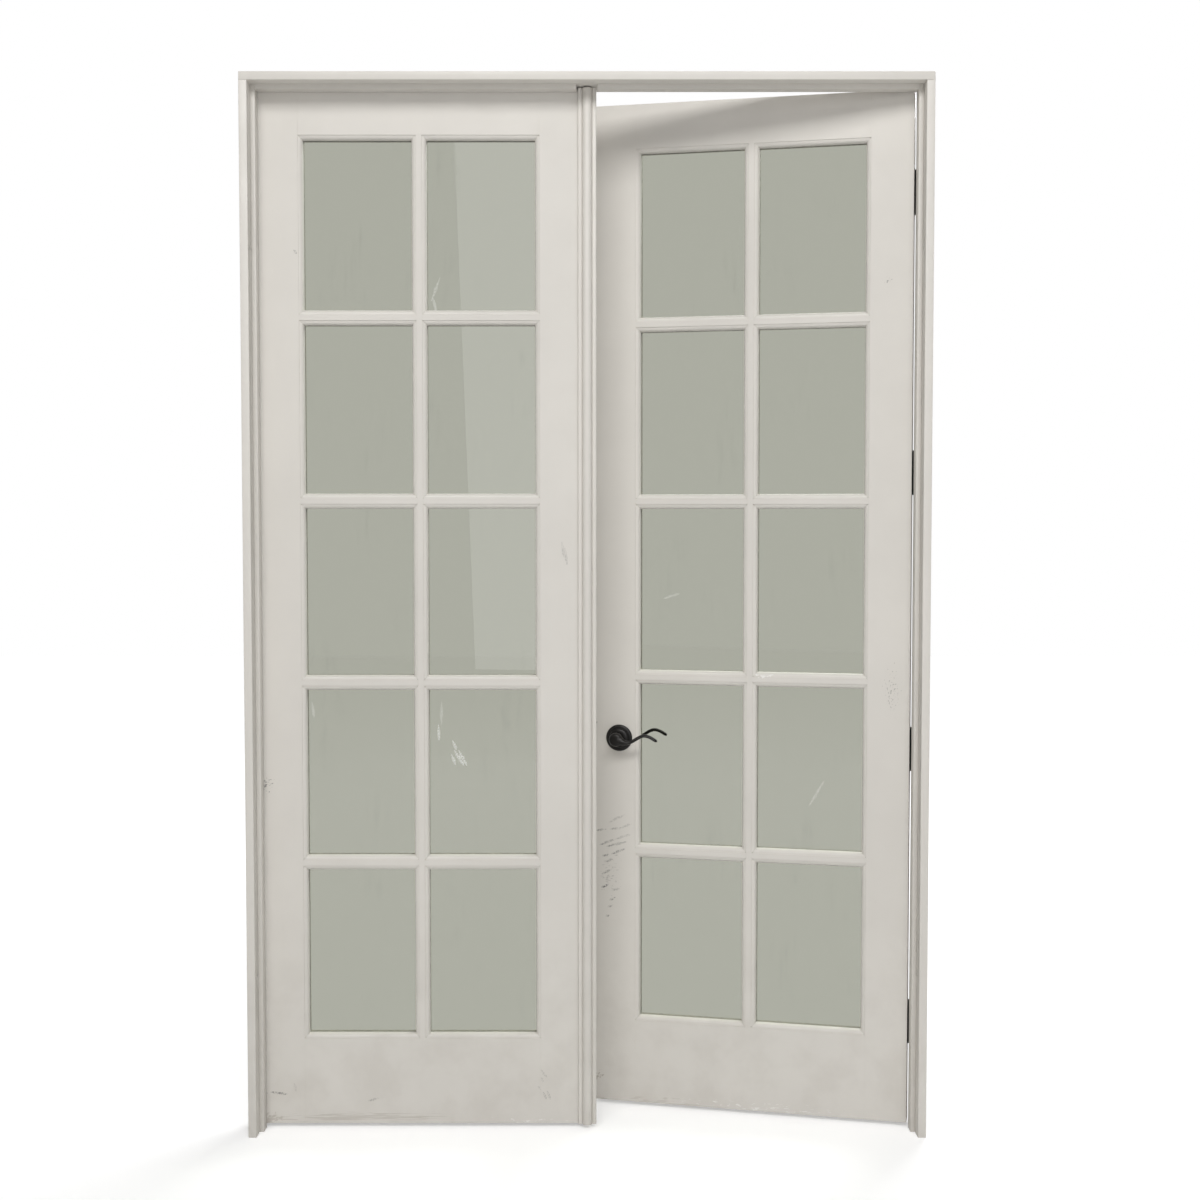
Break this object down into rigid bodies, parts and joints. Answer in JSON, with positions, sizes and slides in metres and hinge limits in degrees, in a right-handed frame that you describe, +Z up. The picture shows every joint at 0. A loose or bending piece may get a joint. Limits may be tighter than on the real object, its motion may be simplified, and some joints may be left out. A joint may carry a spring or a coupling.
{
  "type": "french doors",
  "caption": "Pair of tall white multi-light french doors in a slim frame: glazed leaves on butt hinges, moulded astragal, black wave lever, latch and flush bolts.",
  "frame": {"origin": "floor level, middle of the doorway, middle of the shut leaves' thickness", "axes": "+Z up, +X to the right seen from the astragal's side, +Y through the doorway, the way the leaves swing"},
  "size_m": [1.59, 0.3258, 2.47],
  "materials": {
    "white_paint": "satin off-white paint on wood, scuffed",
    "glass": "clear float glass with a faint green tint",
    "black_metal": "satin black",
    "brass": "satin brass",
    "steel": "plain zinc-plated steel"
  },
  "bodies": {
    "frame": {"left_jamb": "white_paint", "right_jamb": "white_paint", "head_jamb": "white_paint", "left_stop": "white_paint", "right_stop": "white_paint", "head_stops": "white_paint", "left_jamb_hinge_plates": "black_metal", "right_jamb_hinge_plates": "black_metal", "left_hinge_pins": "black_metal", "right_hinge_pins": "black_metal", "jamb_hinge_screws": "black_metal", "head_bolt_strike": "black_metal"},
    "left_leaf": {"left_hinge_stile": "white_paint", "left_meeting_stile": "white_paint", "left_top_rail": "white_paint", "left_bottom_rail": "white_paint", "left_upright_bar": "white_paint", "left_cross_bar_1": "white_paint", "left_cross_bar_2": "white_paint", "left_cross_bar_3": "white_paint", "left_cross_bar_4": "white_paint", "left_panes": "glass", "left_beads": "white_paint", "left_leaf_hinge_plates": "black_metal", "left_leaf_hinge_screws": "black_metal", "astragal": "white_paint", "astragal_screws": "steel", "latch_strike": "brass", "top_bolt_plate": "black_metal", "bottom_bolt_plate": "black_metal"},
    "right_leaf": {"right_hinge_stile": "white_paint", "right_meeting_stile": "white_paint", "right_top_rail": "white_paint", "right_bottom_rail": "white_paint", "right_upright_bar": "white_paint", "right_cross_bar_1": "white_paint", "right_cross_bar_2": "white_paint", "right_cross_bar_3": "white_paint", "right_cross_bar_4": "white_paint", "right_panes": "glass", "right_beads": "white_paint", "right_leaf_hinge_plates": "black_metal", "right_leaf_hinge_screws": "black_metal", "outer_rosette": "black_metal", "inner_rosette": "black_metal", "rosette_screws": "black_metal", "latch_case": "steel", "latch_faceplate": "brass"},
    "levers": {"outer_lever": "black_metal", "inner_lever": "black_metal", "spindle": "steel"},
    "latch_bolt": {"latch_bolt": "brass"},
    "top_bolt": {"top_bolt": "steel"},
    "bottom_bolt": {"bottom_bolt": "steel"}
  },
  "joints": [
    {"name": "left_swing", "type": "hinge", "parent": "frame", "child": "left_leaf", "pos_m": [-0.7745, 0.0295, 0], "axis": [0, 0, 1], "range_deg": [0, 165]},
    {"name": "right_swing", "type": "hinge", "parent": "frame", "child": "right_leaf", "pos_m": [0.7745, 0.0295, 0], "axis": [0, 0, -1], "range_deg": [-13, 152]},
    {"name": "lever_turn", "type": "hinge", "parent": "right_leaf", "child": "levers", "pos_m": [0.08239, 0.15901, 0.914], "axis": [0.225, 0.9744, 0], "range_deg": [0, 50], "stiffness_Nm_per_rad": 1.2, "springref_deg": -20.05},
    {"name": "latch_slide", "type": "slide", "parent": "right_leaf", "child": "latch_bolt", "axis": [0.9744, -0.225, 0], "range_m": [0, 0.012]},
    {"name": "top_bolt_slide", "type": "slide", "parent": "left_leaf", "child": "top_bolt", "axis": [0, 0, 1], "range_m": [0, 0.016]},
    {"name": "bottom_bolt_slide", "type": "slide", "parent": "left_leaf", "child": "bottom_bolt", "axis": [0, 0, -1], "range_m": [0, 0.016]}
  ],
  "couplings": [
    {"joint": "latch_slide", "follows": "lever_turn", "m_per_rad": 0.01375}
  ]
}
